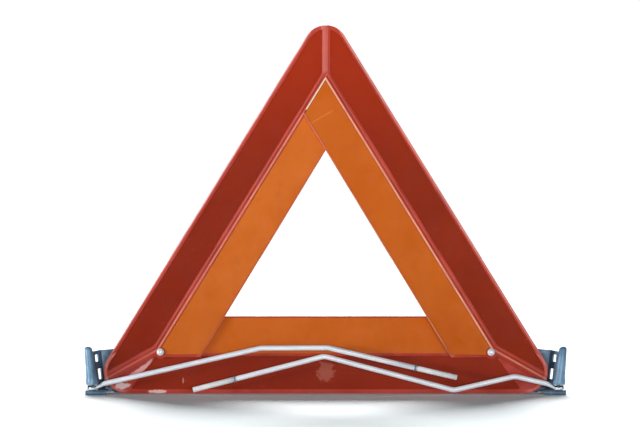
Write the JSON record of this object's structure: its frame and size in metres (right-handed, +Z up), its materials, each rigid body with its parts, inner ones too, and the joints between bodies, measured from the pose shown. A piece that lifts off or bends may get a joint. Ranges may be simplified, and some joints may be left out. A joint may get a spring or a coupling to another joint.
{
  "type": "warning triangle",
  "caption": "Folding roadside warning triangle: red reflecting and orange fluorescent arms on a pressed-steel base with swing-out wire legs.",
  "frame": {"origin": "centre of the footprint, on the surface that the base stands on", "axes": "+X along the base to the right as seen from the front, +Z up, and the reflecting front faces -Y"},
  "size_m": [0.5038, 0.049, 0.3863],
  "materials": {
    "carrier": "moulded red plastic, pinkish on its worn ridges",
    "reflector": "deep red retroreflector with fine prisms",
    "panel": "fluorescent orange, faintly uneven",
    "base_steel": "blue-grey coated pressed steel",
    "wire": "bright zinc-plated wire",
    "sleeve": "white plastic",
    "bright_metal": "bright rivets and screws"
  },
  "bodies": {
    "base": {"arm_bottom": "carrier", "red_reflector_bottom": "reflector", "fluorescent_panel_bottom": "panel", "arm_rivet_left": "bright_metal", "arm_rivet_right": "bright_metal", "layer_washer_right": "bright_metal", "rail_spacer_left": "bright_metal", "rail_spacer_right": "bright_metal", "base_screw_left": "bright_metal", "base_screw_right": "bright_metal", "base_rail": "base_steel", "end_bracket_left": "base_steel", "end_bracket_right": "base_steel", "bracket_rivet_left_upper": "bright_metal", "bracket_rivet_left_lower": "bright_metal", "bracket_rivet_right_upper": "bright_metal", "bracket_rivet_right_lower": "bright_metal", "leg_pivot_left": "bright_metal", "leg_pivot_right": "bright_metal"},
    "left_arm": {"arm_left": "carrier", "red_reflector_left": "reflector", "fluorescent_panel_left": "panel", "apex_stud": "bright_metal"},
    "right_arm": {"arm_right": "carrier", "red_reflector_right": "reflector", "fluorescent_panel_right": "panel", "apex_socket": "bright_metal"},
    "left_leg": {"leg_left": "wire", "leg_ring_left": "base_steel", "leg_sleeve_left": "sleeve"},
    "right_leg": {"leg_right": "wire", "leg_ring_right": "base_steel", "leg_sleeve_right": "sleeve"}
  },
  "joints": [
    {"name": "left_arm_fold", "type": "hinge", "parent": "base", "child": "left_arm", "pos_m": [-0.1733, -0.0013, 0.0437], "axis": [0, 1, 0], "range_deg": [0, 58.3]},
    {"name": "right_arm_fold", "type": "hinge", "parent": "base", "child": "right_arm", "pos_m": [0.1733, -0.0063, 0.0437], "axis": [0, -1, 0], "range_deg": [0, 58.3]},
    {"name": "left_leg_swing", "type": "hinge", "parent": "base", "child": "left_leg", "pos_m": [-0.2436, -0.016, 0.0061], "axis": [0, 0, -1], "range_deg": [0, 255]},
    {"name": "right_leg_swing", "type": "hinge", "parent": "base", "child": "right_leg", "pos_m": [0.2436, -0.016, 0.0061], "axis": [0, 0, 1], "range_deg": [0, 255]}
  ]
}
